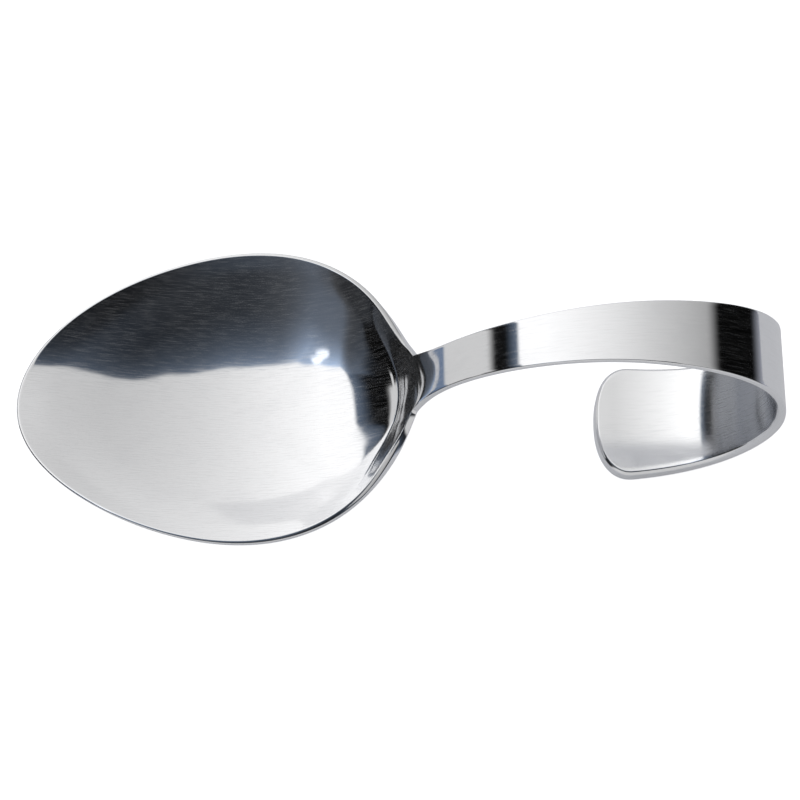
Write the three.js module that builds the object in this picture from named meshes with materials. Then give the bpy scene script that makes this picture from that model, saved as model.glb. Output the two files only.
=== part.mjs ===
import * as THREE from 'three';

// A tasting spoon: one stainless steel blank, pressed into a deep oval bowl whose neck runs on
// without a joint into a strip that arches up, loops round and comes back under itself.
// Lengths are millimetres, +Z is up.  X runs along the spoon, the bowl's tip at -X and the
// loop at +X.  The origin lies on the table under the middle of the length and the width.

const { lerp, smoothstep, degToRad } = THREE.MathUtils;

// Outline of the bowl, seen from above.
const spoonLength = 122.5;
const bowlLength = 65.3;
const bowlWidth = 51;
const tipToWidest = 38.2;
const endFullness = 2.75;

// Heights of the rim above the table: it tilts up towards the neck, dips at the tip and climbs
// steeply where it runs into the handle.
const rimHeight = 11.85;
const rimTilt = 2.5;
const tipDrop = 1.9;
const neckLift = 3.2;
const neckLiftAngle = degToRad(15.5);
const liftSteepness = 6;

// The cup: its floor tilts up towards the neck, and its walls rise to one height along the
// spoon and to another across it.  Close to the rim they turn to meet the rim's own height.
const bottomThickness = 1.6;
const floorTilt = 2.4;
const lengthReach = 9.9;
const widthReach = 12;
const turnStart = 0.89;
const turnSoftness = 0.02;

// Edges.  The rim is a narrow land that slopes outwards above an upright side; both change
// slowly from the tip to the neck.
const edgeChamfer = 0.2;
const landWidth = 0.5;
const landGrowth = 0.3;
const landBend = 0.1;
const landTilt = degToRad(20);
const sideHeight = 0.75;
const sideGrowth = 0.3;

// The neck, and the notch on each side of it where the rim is drawn in.
const neckWidth = 9.4;
const neckThickness = 1;
const notchHollow = 0.8;
const notchHollowAngle = degToRad(15);
const hollowFading = 1.5;
const notchEaseAngle = degToRad(22);
const sideLeanAngle = degToRad(22);
const leanFading = 1.6;
const notchBlend = 7;

// Side view of the handle's outer face: up from the neck, over the crown, round the outer end
// and back along the table.  Each reach is how far the curve keeps its direction there.
const handleHeight = 37.8;
const crownFromEnd = 23.2;
const outerHeight = 20.4;
const tailFromEnd = 27.7;
const tailFlat = 3.2;
const neckReach = 10.8;
const crownReachBack = 14.2;
const crownReachOn = 8;
const outerReachUp = 14.5;
const outerReachDown = 8.5;
const tailReach = 16;

// Width of the handle: narrowest just past the neck, then flaring steadily to the tail.
const stripWidth = 7.6;
const neckFade = 3.2;
const neckFading = 1.3;
const flareStart = 8;
const flareSoftness = 27;
const flareShare = 0.0775;

// Thickness of the handle, and the wider chamfer along the loop's inner face.
const loopThickness = 2;
const tailThickness = 3.2;
const thickenFrom = 28;
const thickenTo = 73;
const tailThickenFrom = 76;
const innerChamfer = 0.5;

// The tail ends in a rounded outline.
const tailRound = 6.1;
const tailSquareness = 2.3;

// Steps of the mesh.  Rings crowd towards the rim and rows towards the neck.
const columns = 8;
const bowlSteps = 56;
const bowlRings = 12;
const ringCrowding = 1.5;
const stripRows = 44;
const rowCrowding = 1.25;
const tailRows = 6;

const halfLength = bowlLength / 2;
const halfBowl = bowlWidth / 2;
const widestX = tipToWidest - spoonLength / 2;
const neckAngle = Math.asin(neckWidth / bowlWidth);

// How far a point is from the bowl's middle is its share, 0 there and 1 at the rim.  The steps
// of the rim's section grow with this power of it.
const rimPower = 4;

// A point of the bowl seen from above; along is -1 at the tip and 1 at the neck, across is
// -1 and 1 at the sides.
function planPoint(along, across) {
  const straight = along * (halfLength - endFullness);
  const shifted = along ** 2 * (halfLength - tipToWidest);
  const x = widestX + straight + shifted + along ** 3 * endFullness;
  return new THREE.Vector2(x, across * halfBowl);
}

// The direction square to the bowl's outline, pointing outwards.
function outwardAt(angle) {
  const along = Math.cos(angle);
  const straight = halfLength - endFullness;
  const shifted = 2 * along * (halfLength - tipToWidest);
  const growth = straight + shifted + 3 * along ** 2 * endFullness;
  return new THREE.Vector2(along * halfBowl, Math.sin(angle) * growth).normalize();
}

function rimLift(angle) {
  const climb = neckLift / (1 + (angle / neckLiftAngle) ** liftSteepness);
  const dip = tipDrop * Math.max(-Math.cos(angle), 0) ** liftSteepness;
  return climb - dip;
}

// Height of the plain cup whose lowest point is at the given bottom.
function shellHeight(share, angle, bottom) {
  const along = share * Math.cos(angle);
  const across = share * Math.sin(angle);
  const lengthRise = lengthReach - bottom;
  const widthRise = widthReach - bottom;
  const middle = bottom + floorTilt ** 2 / (4 * lengthRise);
  return middle + floorTilt * along + lengthRise * along ** 2 + widthRise * across ** 2;
}

// How far the wall has turned from the plain cup to the rim's height: 0 in the cup, 1 at the rim.
function rimTurn(share) {
  const turn = (place) => Math.log1p(Math.exp((place - turnStart) / turnSoftness));
  return turn(share) / turn(1);
}

function cupHeight(share, angle, bottom) {
  const rim = rimHeight + rimTilt * Math.cos(angle) + rimLift(angle);
  const left = rim - shellHeight(1, angle, bottom);
  return shellHeight(share, angle, bottom) + left * rimTurn(share);
}

// Slope of the bowl's inside along its middle line, where the handle takes over.
const neckPoint = new THREE.Vector2(planPoint(1, 0).x, cupHeight(1, 0, bottomThickness));
const nearNeckShare = 0.999;
const nearNeckHeight = cupHeight(nearNeckShare, 0, bottomThickness);
const nearNeck = new THREE.Vector2(planPoint(nearNeckShare, 0).x, nearNeckHeight);
const neckDirection = neckPoint.clone().sub(nearNeck).normalize();
const neckSlope = neckDirection.angle();

// Section of the rim at an angle.  Each entry is a step outwards and a step up from the plain
// outline: the land's inner edge, its outer edge, the foot of the side and the underside's edge.
function rimSection(angle) {
  const along = Math.cos(angle);
  const pastNeck = Math.max(Math.abs(angle) - neckAngle, 0);
  const ease = smoothstep(pastNeck, 0, notchEaseAngle);
  const fullLand = landWidth + landGrowth * along + landBend * along ** 2;
  const land = lerp(edgeChamfer, fullLand, ease);
  const neckSide = neckThickness - 2 * edgeChamfer;
  const side = lerp(neckSide, sideHeight + sideGrowth * along, ease);
  const lean = neckSlope * Math.exp(-((pastNeck / sideLeanAngle) ** leanFading));
  const hollowShare = pastNeck / notchHollowAngle;
  const fading = Math.exp((1 - hollowShare ** hollowFading) / hollowFading);
  const hollow = notchHollow * hollowShare * fading;
  const down = new THREE.Vector2(Math.sin(lean), -Math.cos(lean));
  const inwards = new THREE.Vector2(-Math.cos(lean), -Math.sin(lean));

  const landEdge = new THREE.Vector2(-hollow - land, land * Math.tan(landTilt));
  const sideTop = new THREE.Vector2(-hollow, 0);
  const sideFoot = sideTop.clone().addScaledVector(down, side);
  const underEdge = sideFoot.clone();
  underEdge.addScaledVector(down, edgeChamfer).addScaledVector(inwards, edgeChamfer);

  // Inside the neck there is no edge: the two faces run on, a neck's thickness apart.
  const toNotch = Math.min(Math.abs(angle) / neckAngle, 1) ** 2;
  const through = new THREE.Vector2(neckDirection.y, -neckDirection.x).multiplyScalar(neckThickness);
  landEdge.multiplyScalar(toNotch);
  underEdge.lerp(through, 1 - toNotch);
  return { landEdge, sideTop, sideFoot, underEdge };
}

function bowlPoint(share, angle, step, bottom) {
  const plan = planPoint(share * Math.cos(angle), share * Math.sin(angle));
  const rimShare = share ** rimPower;
  plan.addScaledVector(outwardAt(angle), step.x * rimShare);
  const height = cupHeight(share, angle, bottom) + step.y * rimShare;
  return new THREE.Vector3(plan.x, plan.y, height);
}

function insidePoint(share, angle) {
  return bowlPoint(share, angle, rimSection(angle).landEdge, bottomThickness);
}

function outsidePoint(share, angle) {
  return bowlPoint(share, angle, rimSection(angle).underEdge, 0);
}

// The handle's outer face as one line, seen from the side.
const outerX = spoonLength / 2;
const crown = new THREE.Vector2(outerX - crownFromEnd, handleHeight);
const outermost = new THREE.Vector2(outerX, outerHeight);
const tailEnd = new THREE.Vector2(outerX - tailFromEnd, 0);
const tailStart = new THREE.Vector2(tailEnd.x + tailFlat, 0);

function curveBetween(from, fromStep, to, toStep) {
  return new THREE.CubicBezierCurve(from, from.clone().add(fromStep), to.clone().add(toStep), to);
}

const sideLine = new THREE.CurvePath();
const neckStep = neckDirection.clone().multiplyScalar(neckReach);
const crownBack = new THREE.Vector2(-crownReachBack, 0);
const crownOn = new THREE.Vector2(crownReachOn, 0);
const outerUp = new THREE.Vector2(0, outerReachUp);
const outerDown = new THREE.Vector2(0, -outerReachDown);
const tailStep = new THREE.Vector2(tailReach, 0);
sideLine.add(curveBetween(neckPoint, neckStep, crown, crownBack));
sideLine.add(curveBetween(crown, crownOn, outermost, outerUp));
sideLine.add(curveBetween(outermost, outerDown, tailStart, tailStep));
sideLine.add(new THREE.LineCurve(tailStart, tailEnd));
const lineLength = sideLine.getLength();
const stripLength = lineLength - tailRound;

function halfWidthAt(run) {
  const past = Math.max(run - flareStart, 0);
  const flare = flareShare * (Math.hypot(past, flareSoftness) - flareSoftness);
  const neckExtra = (neckWidth - stripWidth) / 2 * Math.exp(-((run / neckFade) ** neckFading));
  return stripWidth / 2 + flare + neckExtra;
}

function thicknessAt(run) {
  const loop = lerp(neckThickness, loopThickness, smoothstep(run, thickenFrom, thickenTo));
  return loop + (tailThickness - loopThickness) * smoothstep(run, tailThickenFrom, lineLength);
}

function innerChamferAt(run) {
  return lerp(edgeChamfer, innerChamfer, smoothstep(run, thickenFrom, thickenTo));
}

// A point of the handle: how far along, how far across and how deep under the outer face.
function stripPoint(run, across, depth) {
  const share = run / lineLength;
  const place = sideLine.getPoint(share);
  const direction = sideLine.getTangent(share);
  return new THREE.Vector3(place.x + direction.y * depth, across, place.y - direction.x * depth);
}

// Near the neck the straight rows of the strip take up the curved edge of the bowl.
function blendedPoint(run, across, depth, ringPoint, startAcross, startDepth) {
  const point = stripPoint(run, across, depth);
  const change = ringPoint.clone().sub(stripPoint(0, startAcross, startDepth));
  return point.addScaledVector(change, 1 - smoothstep(run, 0, notchBlend));
}

// The four levels of the strip's section; each has how far its edge lies inside the full
// width and how deep it is under the outer face.
const levels = {
  landEdge: { inset: () => edgeChamfer, depth: () => 0 },
  sideTop: { inset: () => 0, depth: () => edgeChamfer },
  sideFoot: { inset: () => 0, depth: (run) => thicknessAt(run) - innerChamferAt(run) },
  underEdge: { inset: (run) => innerChamferAt(run), depth: (run) => thicknessAt(run) },
};

function ringPointAt(levelName, angle) {
  const bottom = levelName === 'landEdge' ? bottomThickness : 0;
  return bowlPoint(1, angle, rimSection(angle)[levelName], bottom);
}

// A point of the strip at one level; share runs -1 to 1 across it.
function handlePoint(levelName, run, share) {
  const level = levels[levelName];
  const across = share * (halfWidthAt(run) - level.inset(run));
  const startAcross = share * (halfWidthAt(0) - level.inset(0));
  const angle = Math.asin(share * Math.sin(neckAngle));
  const ringPoint = ringPointAt(levelName, angle);
  return blendedPoint(run, across, level.depth(run), ringPoint, startAcross, level.depth(0));
}

// A point of the rounded tail: on runs 0 to 1 towards the end, share runs -1 to 1 across.
// A square grid is drawn into half a disc, then the disc is squared off a little.
function tailPoint(levelName, on, share) {
  const level = levels[levelName];
  const inset = level.inset(stripLength);
  const discX = on * Math.sqrt(1 - share ** 2 / 2);
  const discY = share * Math.sqrt(1 - on ** 2 / 2);
  const radius = Math.hypot(discX, discY);
  const powers = Math.abs(discX) ** tailSquareness + Math.abs(discY) ** tailSquareness;
  const squared = radius === 0 ? 1 : radius / powers ** (1 / tailSquareness);
  const run = stripLength + discX * squared * (tailRound - inset);
  const across = discY * squared * (halfWidthAt(stripLength) - inset);
  return stripPoint(run, across, level.depth(run));
}

// A point of the handle's grid at one level: on the strip, or past its last row on the tail.
function gridPoint(levelName, row, column) {
  const share = 2 * column / columns - 1;
  if (row > stripRows) {
    return tailPoint(levelName, (row - stripRows) / tailRows, share);
  }
  return handlePoint(levelName, (row / stripRows) ** rowCrowding * stripLength, share);
}

const positions = [];
const faces = [];

function addPoint(point) {
  positions.push(point.x, point.y, point.z);
  return positions.length / 3 - 1;
}

function addTriangle(first, second, third, flipped) {
  if (flipped) {
    faces.push(first, third, second);
  } else {
    faces.push(first, second, third);
  }
}

function addQuad(first, second, third, fourth, flipped) {
  addTriangle(first, second, third, flipped);
  addTriangle(first, third, fourth, flipped);
}

// Angles round the bowl: first across the neck, then on round the rim back to the neck.
const angles = [];
for (let column = 0; column <= columns; column += 1) {
  angles.push(Math.asin((2 * column / columns - 1) * Math.sin(neckAngle)));
}
for (let step = 1; step < bowlSteps; step += 1) {
  const angle = neckAngle + step / bowlSteps * 2 * (Math.PI - neckAngle);
  angles.push(angle > Math.PI ? angle - 2 * Math.PI : angle);
}
const rimAngles = [...angles.slice(columns), angles[0]];
const lastRow = stripRows + tailRows;

// One face of the spoon, inside and top or outside and under: the bowl ring by ring, then the
// strip row by row, then the tail.  Returns the points along its edge, in order round the spoon.
function addFace(levelName, pointOfBowl, flipped) {
  const middle = addPoint(pointOfBowl(0, 0));
  let ring = [];
  for (let step = 1; step <= bowlRings; step += 1) {
    const share = 1 - (1 - step / bowlRings) ** ringCrowding;
    const inner = ring;
    ring = angles.map((angle) => addPoint(pointOfBowl(share, angle)));
    for (let place = 0; place < ring.length; place += 1) {
      const after = (place + 1) % ring.length;
      if (step === 1) {
        addTriangle(middle, ring[place], ring[after], flipped);
      } else {
        addQuad(inner[place], ring[place], ring[after], inner[after], flipped);
      }
    }
  }

  const rows = [ring.slice(0, columns + 1)];
  for (let row = 1; row <= lastRow; row += 1) {
    const before = rows[row - 1];
    const points = before.map((point, column) => addPoint(gridPoint(levelName, row, column)));
    for (let column = 0; column < columns; column += 1) {
      addQuad(before[column], points[column], points[column + 1], before[column + 1], flipped);
    }
    rows.push(points);
  }

  const between = rows.slice(1, lastRow);
  const nearSide = between.map((row) => row[0]);
  const farSide = between.map((row) => row[columns]).reverse();
  return [...ring.slice(columns), ring[0], ...nearSide, ...rows[lastRow], ...farSide];
}

// One line of points round the spoon's side, at a level between the two faces, in the same order.
function addEdgeLine(levelName) {
  const rim = rimAngles.map((angle) => addPoint(ringPointAt(levelName, angle)));
  const nearSide = [];
  const farSide = [];
  for (let row = 1; row < lastRow; row += 1) {
    nearSide.push(addPoint(gridPoint(levelName, row, 0)));
    farSide.unshift(addPoint(gridPoint(levelName, row, columns)));
  }
  const end = [];
  for (let column = 0; column <= columns; column += 1) {
    end.push(addPoint(gridPoint(levelName, lastRow, column)));
  }
  return [...rim, ...nearSide, ...end, ...farSide];
}

const lines = [
  addFace('landEdge', insidePoint, false),
  addEdgeLine('sideTop'),
  addEdgeLine('sideFoot'),
  addFace('underEdge', outsidePoint, true),
];
for (let level = 1; level < lines.length; level += 1) {
  const upper = lines[level - 1];
  const lower = lines[level];
  upper.forEach((point, place) => {
    const after = (place + 1) % upper.length;
    addQuad(point, lower[place], lower[after], upper[after], false);
  });
}

const geometry = new THREE.BufferGeometry();
geometry.setAttribute('position', new THREE.Float32BufferAttribute(positions, 3));
geometry.setIndex(faces);
geometry.computeVertexNormals();

const steel = new THREE.MeshStandardMaterial({ color: 0xc6c8cc, roughness: 0.2, metalness: 1 });
const spoon = new THREE.Mesh(geometry, steel);
spoon.name = 'spoon';

const tastingSpoon = new THREE.Group();
tastingSpoon.name = 'tasting_spoon';
tastingSpoon.add(spoon);

export default tastingSpoon;
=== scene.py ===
import math
from functools import partial

import bpy
import numpy as np
from mathutils import Matrix, Vector


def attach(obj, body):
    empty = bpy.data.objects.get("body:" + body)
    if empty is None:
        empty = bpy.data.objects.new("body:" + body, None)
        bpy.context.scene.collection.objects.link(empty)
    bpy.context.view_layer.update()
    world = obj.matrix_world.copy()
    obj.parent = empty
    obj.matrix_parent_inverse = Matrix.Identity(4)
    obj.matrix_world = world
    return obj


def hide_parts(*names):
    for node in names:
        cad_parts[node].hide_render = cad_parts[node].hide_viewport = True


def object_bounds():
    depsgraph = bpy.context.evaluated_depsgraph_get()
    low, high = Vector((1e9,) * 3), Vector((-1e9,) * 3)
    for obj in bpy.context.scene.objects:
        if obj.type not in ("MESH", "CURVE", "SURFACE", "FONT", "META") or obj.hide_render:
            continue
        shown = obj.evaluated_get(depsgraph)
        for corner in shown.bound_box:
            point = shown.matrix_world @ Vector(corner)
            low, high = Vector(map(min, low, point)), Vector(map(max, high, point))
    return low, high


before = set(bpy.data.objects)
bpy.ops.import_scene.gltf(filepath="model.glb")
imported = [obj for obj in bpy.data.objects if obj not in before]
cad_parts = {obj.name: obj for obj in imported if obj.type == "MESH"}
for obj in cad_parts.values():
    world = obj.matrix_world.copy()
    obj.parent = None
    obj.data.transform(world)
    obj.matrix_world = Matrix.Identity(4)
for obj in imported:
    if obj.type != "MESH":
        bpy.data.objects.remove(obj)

cad_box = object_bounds()

# The view: the spoon is seen from the near side and from well above, through a lens about
# 313 mm away, so that the bowl looks broad and the arch is seen mostly from the top.
view_height = math.radians(67)
view_turn = math.radians(0.8)
lens_distance = 0.31303
lens_length = 86.91
film_width = 36
nearest_seen, furthest_seen = 0.01, 10
aim = Vector((0.00145, 0, 0.0099))
half_pixel = 0.000081

look = Vector((
    -math.sin(view_turn) * math.cos(view_height),
    math.cos(view_turn) * math.cos(view_height),
    -math.sin(view_height),
))
right = Vector((math.cos(view_turn), math.sin(view_turn), 0))
up = right.cross(look)
eye = bpy.data.cameras.new("eye")
eye.sensor_width = film_width
eye.lens = lens_length
eye.clip_start = nearest_seen
eye.clip_end = furthest_seen
eye_object = bpy.data.objects.new("eye", eye)
place = aim - look * lens_distance - right * half_pixel + up * half_pixel
turned = Matrix((right, up, -look)).transposed().to_4x4()
eye_object.matrix_world = Matrix.Translation(place) @ turned
bpy.context.scene.collection.objects.link(eye_object)
bpy.context.scene.camera = eye_object

# The spoon: one stainless steel blank, pressed into an oval bowl whose neck runs on without a
# joint into a strip that arches up, loops round and comes back under itself.  Sizes are mm.
spoon_length = 122.5
bowl_length = 65.3
bowl_width = 51
tip_to_widest = 38.2
end_fullness = 2.75
bottom_thickness = 1.6

# The rim seen from the side: its height at the middle, its tilt, its drop at the tip and its
# lift to the neck.
rim_height = 11.85
rim_tilt = 2.5
tip_drop = 1.9
neck_lift = 3.2
neck_lift_angle = math.radians(15.5)
lift_steepness = 6

# The cup: the tilt of its bottom, the heights that it reaches along and across, how much
# straighter its walls get, and where they turn to meet the rim.
floor_tilt = 2.4
length_reach = 9.9
width_reach = 12
straight_start = 0.7
straight_from = math.radians(25)
straight_to = math.radians(55)
turn_start = 0.908
turn_softness = 0.014
rim_power = 4

# Edges and the notches beside the neck.
edge_chamfer = 0.2
land_width = 0.5
land_growth = 0.3
land_bend = 0.1
land_tilt = math.radians(20)
side_height = 0.75
side_growth = 0.3
neck_width = 9.4
neck_thickness = 1
notch_hollow = 0.8
notch_hollow_angle = math.radians(15)
hollow_fading = 1.5
notch_ease_angle = math.radians(22)
side_lean_angle = math.radians(22)
lean_fading = 1.6
notch_blend = 7

# The handle: its outer face seen from the side, its width and its thickness.
handle_height = 37.8
crown_from_end = 23.2
outer_height = 20.4
tail_from_end = 27.7
tail_flat = 3.2
neck_reach = 10.8
crown_reach_back = 14.2
crown_reach_on = 8
outer_reach_up = 14.5
outer_reach_down = 8.5
tail_reach = 16
strip_width = 7.6
neck_fade = 3.2
neck_fading = 1.3
flare_start = 8
flare_softness = 27
flare_share = 0.0775
loop_thickness = 2
tail_thickness = 3.2
thicken_from = 28
thicken_to = 73
tail_thicken_from = 76
inner_chamfer = 0.5
tail_crown = 0.5
tail_round = 6.1
tail_squareness = 2.3

half_length = bowl_length / 2
half_bowl = bowl_width / 2
widest_x = tip_to_widest - spoon_length / 2
neck_angle = math.asin(neck_width / bowl_width)
full_turn = math.log1p(math.exp((1 - turn_start) / turn_softness))


def smooth(value, low, high):
    share = np.clip((value - low) / (high - low), 0, 1)
    return share * share * (3 - 2 * share)


def mixed(low, high, share):
    return low + (high - low) * share


def plan_x(along):
    straight = along * (half_length - end_fullness)
    return widest_x + straight + along**2 * (half_length - tip_to_widest) + along**3 * end_fullness


def outward(angle):
    along = np.cos(angle)
    straight = half_length - end_fullness
    growth = straight + 2 * along * (half_length - tip_to_widest) + 3 * along**2 * end_fullness
    square = np.stack([along * half_bowl, np.sin(angle) * growth], -1)
    return square / np.linalg.norm(square, axis=-1, keepdims=True)


def rim_lift(angle):
    climb = neck_lift / (1 + (angle / neck_lift_angle) ** lift_steepness)
    return climb - tip_drop * np.maximum(-np.cos(angle), 0) ** lift_steepness


def shell_height(share, angle, bottom):
    """The plain cup: tilted, rounder across than along, with straighter walls near the rim."""
    straightened = smooth(np.abs(angle), straight_from, straight_to)
    bend_left = straightened * np.maximum(share - straight_start, 0) ** 2
    rounded = (share**2 - bend_left) / (1 - straightened * (1 - straight_start) ** 2)
    dip = floor_tilt**2 / (4 * (length_reach - bottom))
    reach = (length_reach - bottom) * np.cos(angle)**2 + (width_reach - bottom) * np.sin(angle)**2
    return bottom + dip + floor_tilt * share * np.cos(angle) + reach * rounded


def rim_turn_up(share):
    """How far the wall has turned from the plain cup to the rim's own height, 0 to 1."""
    return np.log1p(np.exp((share - turn_start) / turn_softness)) / full_turn


def cup_height(share, angle, bottom):
    rim = rim_height + rim_tilt * np.cos(angle) + rim_lift(angle)
    left = rim - shell_height(1, angle, bottom)
    return shell_height(share, angle, bottom) + left * rim_turn_up(share)


neck_slope = math.radians(67.4)
neck_direction = np.array([math.cos(neck_slope), math.sin(neck_slope)])
neck_point = np.array([plan_x(1), cup_height(1, 0, bottom_thickness)])


def rim_section(angle):
    """Steps outwards and up from the bowl's outline to the four edges of its rim."""
    along = np.cos(angle)
    past_neck = np.maximum(np.abs(angle) - neck_angle, 0)
    ease = smooth(past_neck, 0, notch_ease_angle)
    full_land = land_width + land_growth * along + land_bend * along**2
    land = mixed(edge_chamfer, full_land, ease)
    side = mixed(neck_thickness - 2 * edge_chamfer, side_height + side_growth * along, ease)
    lean = neck_slope * np.exp(-((past_neck / side_lean_angle) ** lean_fading))
    hollow_share = past_neck / notch_hollow_angle
    fading = np.exp((1 - hollow_share**hollow_fading) / hollow_fading)
    hollow = notch_hollow * hollow_share * fading
    down = np.stack([np.sin(lean), -np.cos(lean)], -1)
    inwards = np.stack([-np.cos(lean), -np.sin(lean)], -1)
    land_edge = np.stack([-hollow - land, land * math.tan(land_tilt)], -1)
    side_top = np.stack([-hollow, 0 * hollow], -1)
    side_foot = side_top + down * side[..., None]
    under_edge = side_foot + (down + inwards) * edge_chamfer
    to_notch = (np.minimum(np.abs(angle) / neck_angle, 1) ** 2)[..., None]
    through = np.array([neck_direction[1], -neck_direction[0]]) * neck_thickness
    return {
        "land_edge": land_edge * to_notch,
        "side_top": side_top,
        "side_foot": side_foot,
        "under_edge": mixed(through, under_edge, to_notch),
    }


def bowl_points(share, angle, level):
    share, angle = np.broadcast_arrays(share, angle)
    bottom = bottom_thickness if level == "land_edge" else 0
    step = rim_section(angle)[level] * (share**rim_power)[..., None]
    out = outward(angle)
    x = plan_x(share * np.cos(angle)) + out[..., 0] * step[..., 0]
    y = share * np.sin(angle) * half_bowl + out[..., 1] * step[..., 0]
    z = cup_height(share, angle, bottom) + step[..., 1]
    return np.stack([x, y, z], -1)


# The handle's side line, as a table of places and directions against the length run.
curve_points = 400
flat_points = 60


def curve(start, start_step, end, end_step):
    t = np.linspace(0, 1, curve_points)[:, None]
    first, last = start + start_step, end + end_step
    return (1 - t)**3 * start + 3 * (1 - t)**2 * t * first + 3 * (1 - t) * t**2 * last + t**3 * end


outer_x = spoon_length / 2
crown = np.array([outer_x - crown_from_end, handle_height])
outermost = np.array([outer_x, outer_height])
tail_end = np.array([outer_x - tail_from_end, 0.0])
tail_start = tail_end + np.array([tail_flat, 0])
along_x, along_z = np.array([1.0, 0.0]), np.array([0.0, 1.0])
side_line = np.concatenate([
    curve(neck_point, neck_direction * neck_reach, crown, -along_x * crown_reach_back)[:-1],
    curve(crown, along_x * crown_reach_on, outermost, along_z * outer_reach_up)[:-1],
    curve(outermost, -along_z * outer_reach_down, tail_start, along_x * tail_reach)[:-1],
    np.linspace(tail_start, tail_end, flat_points),
])
steps = np.linalg.norm(np.diff(side_line, axis=0), axis=1)
line_runs = np.concatenate([[0], np.cumsum(steps)])
line_length = line_runs[-1]
strip_length = line_length - tail_round
line_slopes = np.gradient(side_line, line_runs, axis=0)
line_slopes[0] = neck_direction
line_slopes /= np.linalg.norm(line_slopes, axis=1, keepdims=True)


def half_width(run):
    past = np.maximum(run - flare_start, 0)
    flare = flare_share * (np.hypot(past, flare_softness) - flare_softness)
    neck_extra = (neck_width - strip_width) / 2 * np.exp(-((run / neck_fade) ** neck_fading))
    return strip_width / 2 + flare + neck_extra


def thickness(run):
    loop = mixed(neck_thickness, loop_thickness, smooth(run, thicken_from, thicken_to))
    grown = (tail_thickness - loop_thickness) * smooth(run, tail_thicken_from, line_length)
    return loop + grown


def crown_drop(run, share):
    """The inner face is crowned towards the tail, because polishing rounds it off."""
    return tail_crown * smooth(run, thicken_from, tail_thicken_from) * share**2


def chamfer(run):
    return mixed(edge_chamfer, inner_chamfer, smooth(run, thicken_from, thicken_to))


inset_at = {
    "land_edge": lambda run: edge_chamfer + 0 * run,
    "side_top": lambda run: 0 * run,
    "side_foot": lambda run: 0 * run,
    "under_edge": chamfer,
}
depth_at = {
    "land_edge": lambda run: 0 * run,
    "side_top": lambda run: edge_chamfer + 0 * run,
    "side_foot": lambda run: thickness(run) - chamfer(run),
    "under_edge": thickness,
}
crowned = {"land_edge": 0, "side_top": 0, "side_foot": 1, "under_edge": 1}


def strip_points(run, across, depth):
    x = np.interp(run, line_runs, side_line[:, 0])
    z = np.interp(run, line_runs, side_line[:, 1])
    slope_x = np.interp(run, line_runs, line_slopes[:, 0])
    slope_z = np.interp(run, line_runs, line_slopes[:, 1])
    return np.stack([x + slope_z * depth, across + 0 * x, z - slope_x * depth], -1)


def handle_points(run, share, level):
    run, share = np.broadcast_arrays(np.asarray(run, float), np.asarray(share, float))
    inset, depth = inset_at[level], depth_at[level]
    face_depth = depth(run) - crowned[level] * crown_drop(run, share)
    points = strip_points(run, share * (half_width(run) - inset(run)), face_depth)
    start = 0 * run
    angle = np.arcsin(share * math.sin(neck_angle))
    bowl_edge = bowl_points(1 + start, angle, level)
    straight = strip_points(start, share * (half_width(start) - inset(start)), depth(start))
    left = 1 - smooth(run, 0, notch_blend)
    return points + (bowl_edge - straight) * left[..., None]


tiny = 1e-9


def tail_points(on, share, level):
    """The tail's rounded end: a square of shares, -1 to 1, bulged to a disc and squared off."""
    on, share = np.broadcast_arrays(np.asarray(on, float), np.asarray(share, float))
    inset = inset_at[level](np.array(strip_length))
    disc_x = on * np.sqrt(1 - share**2 / 2)
    disc_y = share * np.sqrt(1 - on**2 / 2)
    radius = np.maximum(np.hypot(disc_x, disc_y), tiny)
    lengthwise = (np.abs(disc_x) / radius) ** tail_squareness
    crosswise = (np.abs(disc_y) / radius) ** tail_squareness
    squared = (lengthwise + crosswise) ** (-1 / tail_squareness)
    face_width = half_width(np.array(strip_length)) - inset
    run = strip_length + disc_x * squared * (tail_round - inset)
    across = disc_y * squared * face_width
    depth = depth_at[level](run) - crowned[level] * crown_drop(run, across / face_width)
    return strip_points(run, across, depth)


# The mesh: two faces, each the bowl's rings and the handle's rows, and between them the edge's
# section all the way round, with every corner rounded over by about a tenth of a millimetre.
columns = 20
bowl_steps = 280
bowl_rings = 64
strip_rows = 300
tail_rows = 24
ring_crowding = 1.3
row_crowding = 1.25
bowl_face_edge = 0.004
strip_face_edge = 0.016
under_side = 200
edge_step = 0.35
corner_rounding = {"land_edge": 0.07, "side_top": 0.13, "side_foot": 0.16, "under_edge": 0.14}
most_rounding = 0.42
corner_fullness = 0.3
millimetre = 0.001
hair = 0.000001

across_shares = np.linspace(-1, 1, columns + 1)
rim_turn = neck_angle + np.arange(1, bowl_steps) / bowl_steps * 2 * (math.pi - neck_angle)
rim_turn = np.where(rim_turn > math.pi, rim_turn - 2 * math.pi, rim_turn)
angles = np.concatenate([np.arcsin(across_shares * math.sin(neck_angle)), rim_turn])
rim_angles = np.concatenate([angles[columns:], angles[:1]])
rings_left = 1 - np.arange(1, bowl_rings + 1) / bowl_rings
ring_shares = (1 - rings_left**ring_crowding) * (1 - bowl_face_edge)
runs = (np.arange(1, strip_rows + 1) / strip_rows) ** row_crowding * strip_length
tail_ons = np.arange(1, tail_rows + 1) / tail_rows

vertices = []
maps = []
quads = []
fans = []


def add_points(points, along, across):
    """Adds a grid of points with their place on the steel, in mm; returns their numbers."""
    first = sum(len(part) for part in vertices)
    numbers = first + np.arange(points[..., 0].size).reshape(points.shape[:-1])
    vertices.append(points.reshape(-1, 3))
    maps.append(np.stack(np.broadcast_arrays(along, across), -1).reshape(-1, 2))
    return numbers


def add_quads(a, b, c, d, flipped):
    order = [a, d, c, b] if flipped else [a, b, c, d]
    quads.append(np.stack([np.ravel(x) for x in order], -1))


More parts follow.
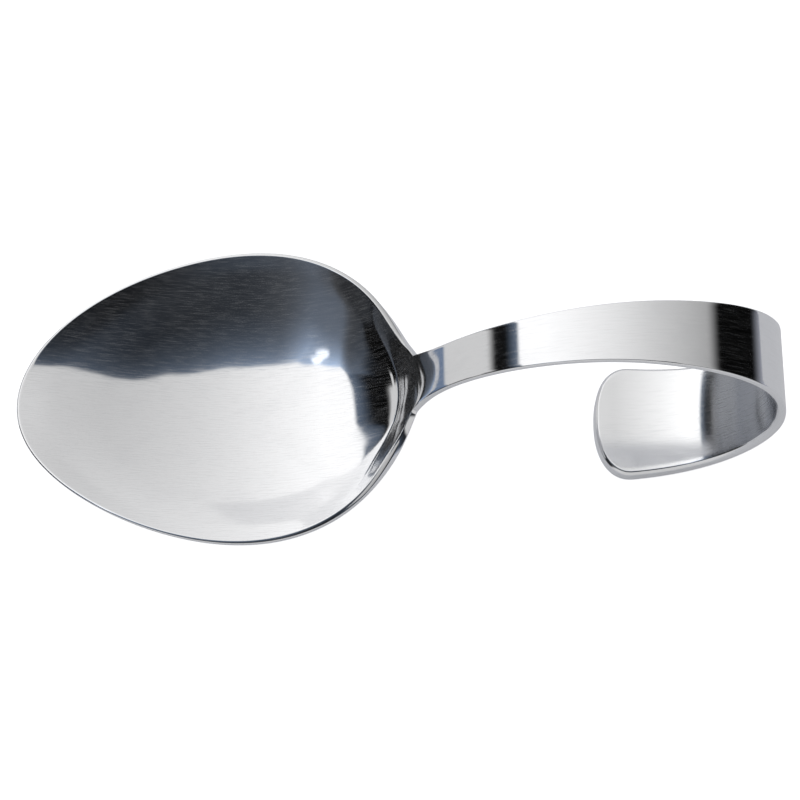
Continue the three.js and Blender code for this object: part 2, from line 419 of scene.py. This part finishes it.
def add_face(level, flipped):
    """Adds the upper or the under face; returns the numbers of the points along its edge."""
    side = under_side if flipped else 0
    rings = bowl_points(ring_shares[:, None], angles[None, :], level)
    ring_numbers = add_points(rings, rings[..., 0], rings[..., 1] + side)
    middle = bowl_points(np.array(0.0), np.array(0.0), level)[None]
    middle_number = add_points(middle, middle[..., 0], middle[..., 1] + side)[0]
    around = np.roll(ring_numbers, -1, axis=1)
    add_quads(ring_numbers[:-1], ring_numbers[1:], around[1:], around[:-1], flipped)
    for a, b in zip(ring_numbers[0], around[0]):
        fans.append((middle_number, b, a) if flipped else (middle_number, a, b))

    inner_shares = across_shares * (1 - strip_face_edge)
    strip = handle_points(runs[:, None], inner_shares[None, :], level)
    tail = tail_points(tail_ons[:, None] * (1 - strip_face_edge), inner_shares[None, :], level)
    tail_runs = strip_length + tail_ons * tail_round
    all_runs = np.concatenate([runs, tail_runs])[:, None] + neck_point[0]
    rows = np.concatenate([strip, tail])
    row_numbers = add_points(rows, all_runs, rows[..., 1] + side)
    row_numbers = np.concatenate([ring_numbers[-1:, : columns + 1], row_numbers])
    near, far = row_numbers[:, :-1], row_numbers[:, 1:]
    add_quads(near[:-1], near[1:], far[1:], far[:-1], flipped)
    rim = ring_numbers[-1]
    near_side, far_side = row_numbers[1:-1, 0], row_numbers[1:-1, -1]
    return np.concatenate([rim[columns:], rim[:1], near_side, row_numbers[-1], far_side[::-1]])


def edge_points(level):
    rim = bowl_points(np.ones_like(rim_angles), rim_angles, level)
    sides = []
    for side in (-1, 1):
        strip = handle_points(runs, side, level)
        tail = tail_points(tail_ons[:-1], side, level)
        sides.append(np.concatenate([strip, tail]))
    end = tail_points(1, across_shares, level)
    return np.concatenate([rim, sides[0], end, sides[1][::-1]])


top_edge = add_face("land_edge", False)
under_face_edge = add_face("under_edge", True)
face_points = np.concatenate(vertices)
corner_names = list(corner_rounding)
corners = [edge_points(name) for name in corner_names]
edge_lines = [face_points[top_edge], *corners, face_points[under_face_edge]]
edge_runs = np.arange(len(top_edge)) * edge_step
section = [top_edge]
for number, name in enumerate(corner_names, 1):
    before, here, after = edge_lines[number - 1 : number + 2]
    towards = []
    for other in (before, after):
        gap = np.linalg.norm(other - here, axis=1, keepdims=True)
        reach = np.minimum(corner_rounding[name], most_rounding * gap)
        towards.append((other - here) / np.maximum(gap, tiny) * reach)
    corner = here + corner_fullness * (towards[0] + towards[1])
    rounded = [here + towards[0], corner, here + towards[1]]
    # The faces' own edges stand for the section's first and last line.
    if number == 1:
        rounded = rounded[1:]
    if number == len(corner_names):
        rounded = rounded[:-1]
    for points in rounded:
        section.append(add_points(points, edge_runs, len(section)))
section.append(under_face_edge)
for upper, lower in zip(section[:-1], section[1:]):
    add_quads(upper, lower, np.roll(lower, -1), np.roll(upper, -1), False)

# The whole spoon is fitted to a hair inside the solid's box.
all_points = np.concatenate(vertices) * millimetre
solid_low, solid_high = (np.array(corner) for corner in cad_box)
own_low, own_high = all_points.min(axis=0), all_points.max(axis=0)
size_shares = (solid_high - solid_low - 2 * hair) / (own_high - own_low)
all_points = solid_low + hair + (all_points - own_low) * size_shares
all_maps = np.concatenate(maps)
all_faces = fans + list(np.concatenate(quads))
faces = [tuple(int(number) for number in face) for face in all_faces]
spoon_mesh = bpy.data.meshes.new("spoon_steel")
spoon_mesh.from_pydata(all_points.tolist(), [], faces)
map_layer = spoon_mesh.uv_layers.new(name="steel_mm")
loop_points = np.zeros(len(spoon_mesh.loops), np.int32)
spoon_mesh.loops.foreach_get("vertex_index", loop_points)
map_layer.data.foreach_set("uv", all_maps[loop_points].astype(np.float32).ravel())
spoon_mesh.polygons.foreach_set("use_smooth", np.ones(len(spoon_mesh.polygons), bool))
spoon = bpy.data.objects.new("spoon_steel", spoon_mesh)
bpy.context.scene.collection.objects.link(spoon)
spoon.modifiers.new("even_normals", "WEIGHTED_NORMAL")

# The finish: mirror polish over the fine lines of the belt that ground the sheet, which run the
# length of the bowl and the handle.  Inside the loop, where the wheel hardly reaches, it is duller,
# and deep in the loop's hollow its colour is painted dark as painted shade.
# Each place is told in mm along the steel: where a finish starts, and where it is full.
bowl_place = (2.0, -6.0)
loop_place = (40.0, 74.0)
# Where the loop's inner face is both rougher and painted dark as shade, in mm along the steel.
dull_and_shaded_place = (97.0, 93.5)
polished_colour = (0.898, 0.9, 0.91, 1)
worn_colour = (0.878, 0.88, 0.892, 1)
loop_colour = (0.975, 0.978, 0.985, 1)
# Painted shade: a dark colour for the inner face deep in the loop, where shade falls.
loop_painted_shade_colour = (0.40, 0.415, 0.45, 1)
polished_roughness = 0.065
line_roughness = 0.07
worn_roughness = 0.012
bowl_roughness = -0.015
loop_roughness = 0.05
unreached_roughness = 0.12
mirror_share = 0.995
line_haze = -0.035
bowl_line_haze = -0.085
long_line_share = 0.25
bump_strength = 0.15
bump_height = 0.0000005
noise_roughness = 0.6
line_stretch = 0.8
quarter_turn = 0.25

steel = bpy.data.materials.new("polished_steel")
steel.use_nodes = True
tree = steel.node_tree
shader = tree.nodes["Principled BSDF"]


def wired(tree, kind, output, settings=(), **inputs):
    """Adds one node; each input, told by name or _number, is a value or a node's output."""
    node = tree.nodes.new(kind)
    for name, value in dict(settings).items():
        setattr(node, name, value)
    for name, value in inputs.items():
        key = int(name[1:]) if name[0] == "_" else name.replace("_", " ")
        if isinstance(value, bpy.types.NodeSocket):
            tree.links.new(value, node.inputs[key])
        else:
            node.inputs[key].default_value = value
    return node.outputs[output]


def summed(tree, operation, first, second=0.0, third=0.0):
    settings = {"operation": operation}
    return wired(tree, "ShaderNodeMath", 0, settings, _0=first, _1=second, _2=third)


def changed(tree, level, *changes):
    """A level to which each change is added as far as its share, 0 to 1, says."""
    for share, change in changes:
        level = summed(tree, "MULTIPLY_ADD", share, change, level)
    return level


def risen(tree, value, start, full):
    """0 at start, 1 at full, smooth between them; full may be the lower of the two."""
    settings = {"interpolation_type": "SMOOTHSTEP"}
    low, high = min(start, full), max(start, full)
    at_low, at_high = (0.0, 1.0) if start < full else (1.0, 0.0)
    ends = {"From_Min": low, "From_Max": high, "To_Min": at_low, "To_Max": at_high}
    return wired(tree, "ShaderNodeMapRange", 0, settings, Value=value, **ends)


def marks(along, across, detail, start, full):
    """Marks on the steel, told by how fast they change along it and across it."""
    place = wired(tree, "ShaderNodeMapping", 0, Vector=on_steel, Scale=(along, across, 1))
    looks = {"Scale": 1.0, "Detail": detail, "Roughness": noise_roughness}
    return risen(tree, wired(tree, "ShaderNodeTexNoise", 0, Vector=place, **looks), start, full)


def tinted(share, first, second):
    """One colour turning into another as the share goes from 0 to 1."""
    settings = {"data_type": "RGBA"}
    return wired(tree, "ShaderNodeMix", 2, settings, _0=share, _6=first, _7=second)


on_steel = wired(tree, "ShaderNodeUVMap", 0, {"uv_map": "steel_mm"})
along_steel = wired(tree, "ShaderNodeSeparateXYZ", 0, Vector=on_steel)
across_steel = wired(tree, "ShaderNodeSeparateXYZ", 1, Vector=on_steel)
under = risen(tree, across_steel, under_side / 2, under_side / 2 + 1)
above = summed(tree, "SUBTRACT", 1.0, under)
in_bowl = summed(tree, "MULTIPLY", above, risen(tree, along_steel, *bowl_place))
in_loop = summed(tree, "MULTIPLY", under, risen(tree, along_steel, *loop_place))
# Deep in the loop: rougher steel, and a mask for the painted shade there too.
dull_and_shaded = summed(tree, "MULTIPLY", in_loop, risen(tree, along_steel, *dull_and_shaded_place))

short_lines = marks(along=0.26, across=5.2, detail=3.0, start=0.46, full=0.7)
long_lines = marks(along=0.09, across=1.9, detail=3.0, start=0.4, full=0.7)
bowl_lines = marks(along=0.33, across=6.0, detail=2.0, start=0.48, full=0.64)
worn = marks(along=0.11, across=0.16, detail=3.0, start=0.5, full=0.68)
lines = changed(tree, short_lines, (long_lines, long_line_share))
lines_in_bowl = summed(tree, "MULTIPLY", in_bowl, bowl_lines)

roughness = changed(
    tree,
    polished_roughness,
    (lines, line_roughness),
    (worn, worn_roughness),
    (in_bowl, bowl_roughness),
    (in_loop, loop_roughness),
    (dull_and_shaded, unreached_roughness),
)
tree.links.new(roughness, shader.inputs["Roughness"])
mirror = changed(tree, mirror_share, (lines, line_haze), (lines_in_bowl, bowl_line_haze))
tree.links.new(mirror, shader.inputs["Metallic"])
colour = tinted(worn, polished_colour, worn_colour)
colour = tinted(in_loop, colour, loop_colour)
# Painted shade: the colour deep in the loop is darkened.
colour = tinted(dull_and_shaded, colour, loop_painted_shade_colour)
tree.links.new(colour, shader.inputs["Base Color"])
bump = {"Strength": bump_strength, "Distance": bump_height}
bumped = wired(tree, "ShaderNodeBump", 0, Height=lines, **bump)
tree.links.new(bumped, shader.inputs["Normal"])
lengthwise = {"direction_type": "UV_MAP", "uv_map": "steel_mm"}
tree.links.new(wired(tree, "ShaderNodeTangent", 0, lengthwise), shader.inputs["Tangent"])
shader.inputs["Anisotropic"].default_value = line_stretch
shader.inputs["Anisotropic Rotation"].default_value = quarter_turn
spoon_mesh.materials.append(steel)
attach(spoon, "root")
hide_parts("spoon")

# The floor: a plain pale tabletop that ends not far to the left of the bowl's tip.  It renders
# white to the camera but keeps the spoon's soft shadow, and the steel sees it as a pale grey.
table_left, table_right, table_back = -0.12, 1.6, 1.6
table_drop = 0.00005
table_colour = (0.66, 0.667, 0.7, 1)
table_roughness = 0.9
white_seen = 0.88
white_in_metal = 0.22

floor_mesh = bpy.data.meshes.new("floor")
near_corners = [(table_left, -table_back, 0), (table_right, -table_back, 0)]
far_corners = [(table_right, table_back, 0), (table_left, table_back, 0)]
floor_mesh.from_pydata(near_corners + far_corners, [], [(0, 1, 2, 3)])
floor = bpy.data.objects.new("floor", floor_mesh)
floor.location.z = -table_drop
bpy.context.scene.collection.objects.link(floor)
tabletop = bpy.data.materials.new("pale_tabletop")
tabletop.use_nodes = True
tree = tabletop.node_tree
table_shader = tree.nodes["Principled BSDF"]
table_shader.inputs["Base Color"].default_value = table_colour
table_shader.inputs["Roughness"].default_value = table_roughness
table_shader.inputs["Specular IOR Level"].default_value = 0
table_shader.inputs["Emission Color"].default_value = (1, 1, 1, 1)
rays = tree.nodes.new("ShaderNodeLightPath").outputs
in_metal = summed(tree, "MAXIMUM", rays["Is Glossy Ray"], rays["Is Transmission Ray"])
seen = summed(tree, "MULTIPLY", rays["Is Camera Ray"], white_seen)
glow = changed(tree, seen, (in_metal, white_in_metal))
tree.links.new(glow, table_shader.inputs["Emission Strength"])
floor_mesh.materials.append(tabletop)

# The light: a broad soft window behind the spoon, brighter to the left, a pale wall at the far
# left, a grey one at the right, and on the near side the dim room with a pale wall low in it.  A
# direction is told by its angle from straight up, in degrees: u to the right and v to the back.
soft_edge = 0.6
window_level = 0.755
window_growth = -0.0095
window_most = 1.13
glow_reach = 11
star_level = 0.9
star_core = 0.2
least_length = 0.0001
window_colour = (1.0, 1.0, 1.0)
right_wall_colour = (0.94, 0.98, 1.12)
wall_foot_colour = (0.7, 0.95, 1.42)
slate_colour = (0.76, 1.0, 1.4)
room_colour = (0.97, 1.0, 1.06)

scene = bpy.context.scene
scene.view_settings.view_transform = "Standard"
world = bpy.data.worlds.new("studio")
scene.world = world
world.use_nodes = True
tree = world.node_tree
sums = partial(summed, tree)
rise = partial(risen, tree)


def times(*factors):
    product = factors[0]
    for factor in factors[1:]:
        product = sums("MULTIPLY", product, factor)
    return product


def bent(*bends, base):
    """A line or level shifted by bends, each told by its measure, start, full place and shift."""
    for measure, start, full, shift in bends:
        base = changed(tree, base, (rise(measure, start, full), shift))
    return base


def patch(*sides, level):
    """Light of one level between soft sides, each told by its measure, start and full place."""
    for measure, start, full in sides:
        level = times(rise(measure, start, full), level)
    return level


def spot(u_middle, v_middle, size):
    across = sums("ADD", u, -u_middle)
    back = sums("ADD", v, -v_middle)
    squared = sums("MULTIPLY_ADD", across, across, times(back, back))
    return rise(squared, size**2, star_core * size**2)


def coloured(level, colour):
    return wired(tree, "ShaderNodeVectorMath", 0, {"operation": "SCALE"}, _0=colour, _3=level)


direction = wired(tree, "ShaderNodeTexCoord", "Generated")
to_right, to_back, to_top = (
    wired(tree, "ShaderNodeSeparateXYZ", axis, Vector=direction) for axis in range(3)
)
level_squared = sums("MULTIPLY_ADD", to_right, to_right, times(to_back, to_back))
level_length = sums("MAXIMUM", sums("SQRT", level_squared), least_length)
from_top = times(sums("ARCTAN2", level_length, to_top), math.degrees(1))
spread = sums("DIVIDE", from_top, level_length)
u = times(to_right, spread)
v = times(to_back, spread)
left = times(u, -1.0)

# The window, whose near edge runs in steps and whose left edge leans outwards at the back.
near_edge = bent(
    (u, -6.0, 10.0, 5.6),
    (u, 9.0, 15.5, 5.5),
    (u, 18.5, 21.0, -24.0),
    (left, 34.0, 48.0, 6.5),
    (left, 47.0, 51.0, 6.0),
    base=-9.9,
)
past_edge = sums("SUBTRACT", v, near_edge)
past_left = bent((v, 38.0, 66.0, -5.0), base=left)
window_light = sums("MINIMUM", sums("MULTIPLY_ADD", u, window_growth, window_level), window_most)
window = patch(
    (past_edge, -soft_edge, soft_edge),
    (past_left, 51.0, 49.5),
    (u, 45.0, 36.0),
    level=window_light,
)

# The walls, with a slit of light on the near side of the left one, and a star of two lamps.
slit = patch((left, 66.5, 68.5), (left, 75.0, 73.0), (v, 0.0, 2.0), level=1.0)
high_wall = patch((left, 59.5, 64.0), (v, 15.0, 20.0), level=1.0)
left_wall = patch((left, 88.0, 86.0), level=times(sums("MAXIMUM", high_wall, slit), 0.65))
wall_foot = patch((left, 86.0, 88.0), (left, 96.0, 90.0), (v, 15.0, 20.0), level=0.21)
right_wall = patch((u, 71.0, 88.0), level=0.4)
near_wall = patch((v, -47.0, -57.0), level=0.6)
star = sums("MAXIMUM", spot(-39.0, -14.6, 3.6), spot(-36.6, -12.2, 3.0))
bright = sums("ADD", sums("ADD", window, left_wall), near_wall)
bright = changed(tree, bright, (star, star_level))

# The dim room: a slate glow that fades away from the window's near edge, a strip beside its
# left edge, and a fainter glow further off.
edge_glow = bent((u, 20.0, -20.0, 0.16), (left, 22.0, 40.0, 0.38), base=0.08)
side_end = bent((left, 53.0, 45.0, 0.82), base=0.18)
fading = sums("MINIMUM", sums("EXPONENT", times(past_edge, 1 / glow_reach)), 1.0)
past_corner = bent((v, -10.0, 1.0, 5.0), base=left)
dark_corner = patch((past_corner, 59.5, 64.5), (v, -28.0, -16.0), level=1.0)
lit_room = sums("SUBTRACT", 1.0, dark_corner)
near_side = patch((past_edge, soft_edge, -soft_edge), level=lit_room)
beside = patch(
    (past_left, 56.0, 50.0),
    (past_left, 49.5, 51.0),
    (past_edge, -soft_edge, soft_edge),
    level=0.14,
)
slate = sums("ADD", times(edge_glow, fading, side_end, near_side), beside)
far_glow = bent(
    (u, 13.0, 3.0, 0.009),
    (left, 8.0, 34.0, 0.036),
    (left, 48.0, 60.0, -0.03),
    base=0.007,
)
room = patch((left, 100.0, 92.0), level=times(far_glow, near_side))

light = coloured(bright, window_colour)
for level, colour in (
    (right_wall, right_wall_colour),
    (wall_foot, wall_foot_colour),
    (slate, slate_colour),
    (room, room_colour),
):
    part = coloured(level, colour)
    light = wired(tree, "ShaderNodeVectorMath", 0, {"operation": "ADD"}, _0=light, _1=part)
sky = tree.nodes["Background"]
tree.links.new(light, sky.inputs["Color"])
white = tree.nodes.new("ShaderNodeBackground")
white.inputs["Color"].default_value = (1, 1, 1, 1)
rays = tree.nodes.new("ShaderNodeLightPath").outputs
chosen = tree.nodes.new("ShaderNodeMixShader")
tree.links.new(rays["Is Camera Ray"], chosen.inputs[0])
tree.links.new(sky.outputs[0], chosen.inputs[1])
tree.links.new(white.outputs[0], chosen.inputs[2])
tree.links.new(chosen.outputs[0], tree.nodes["World Output"].inputs["Surface"])
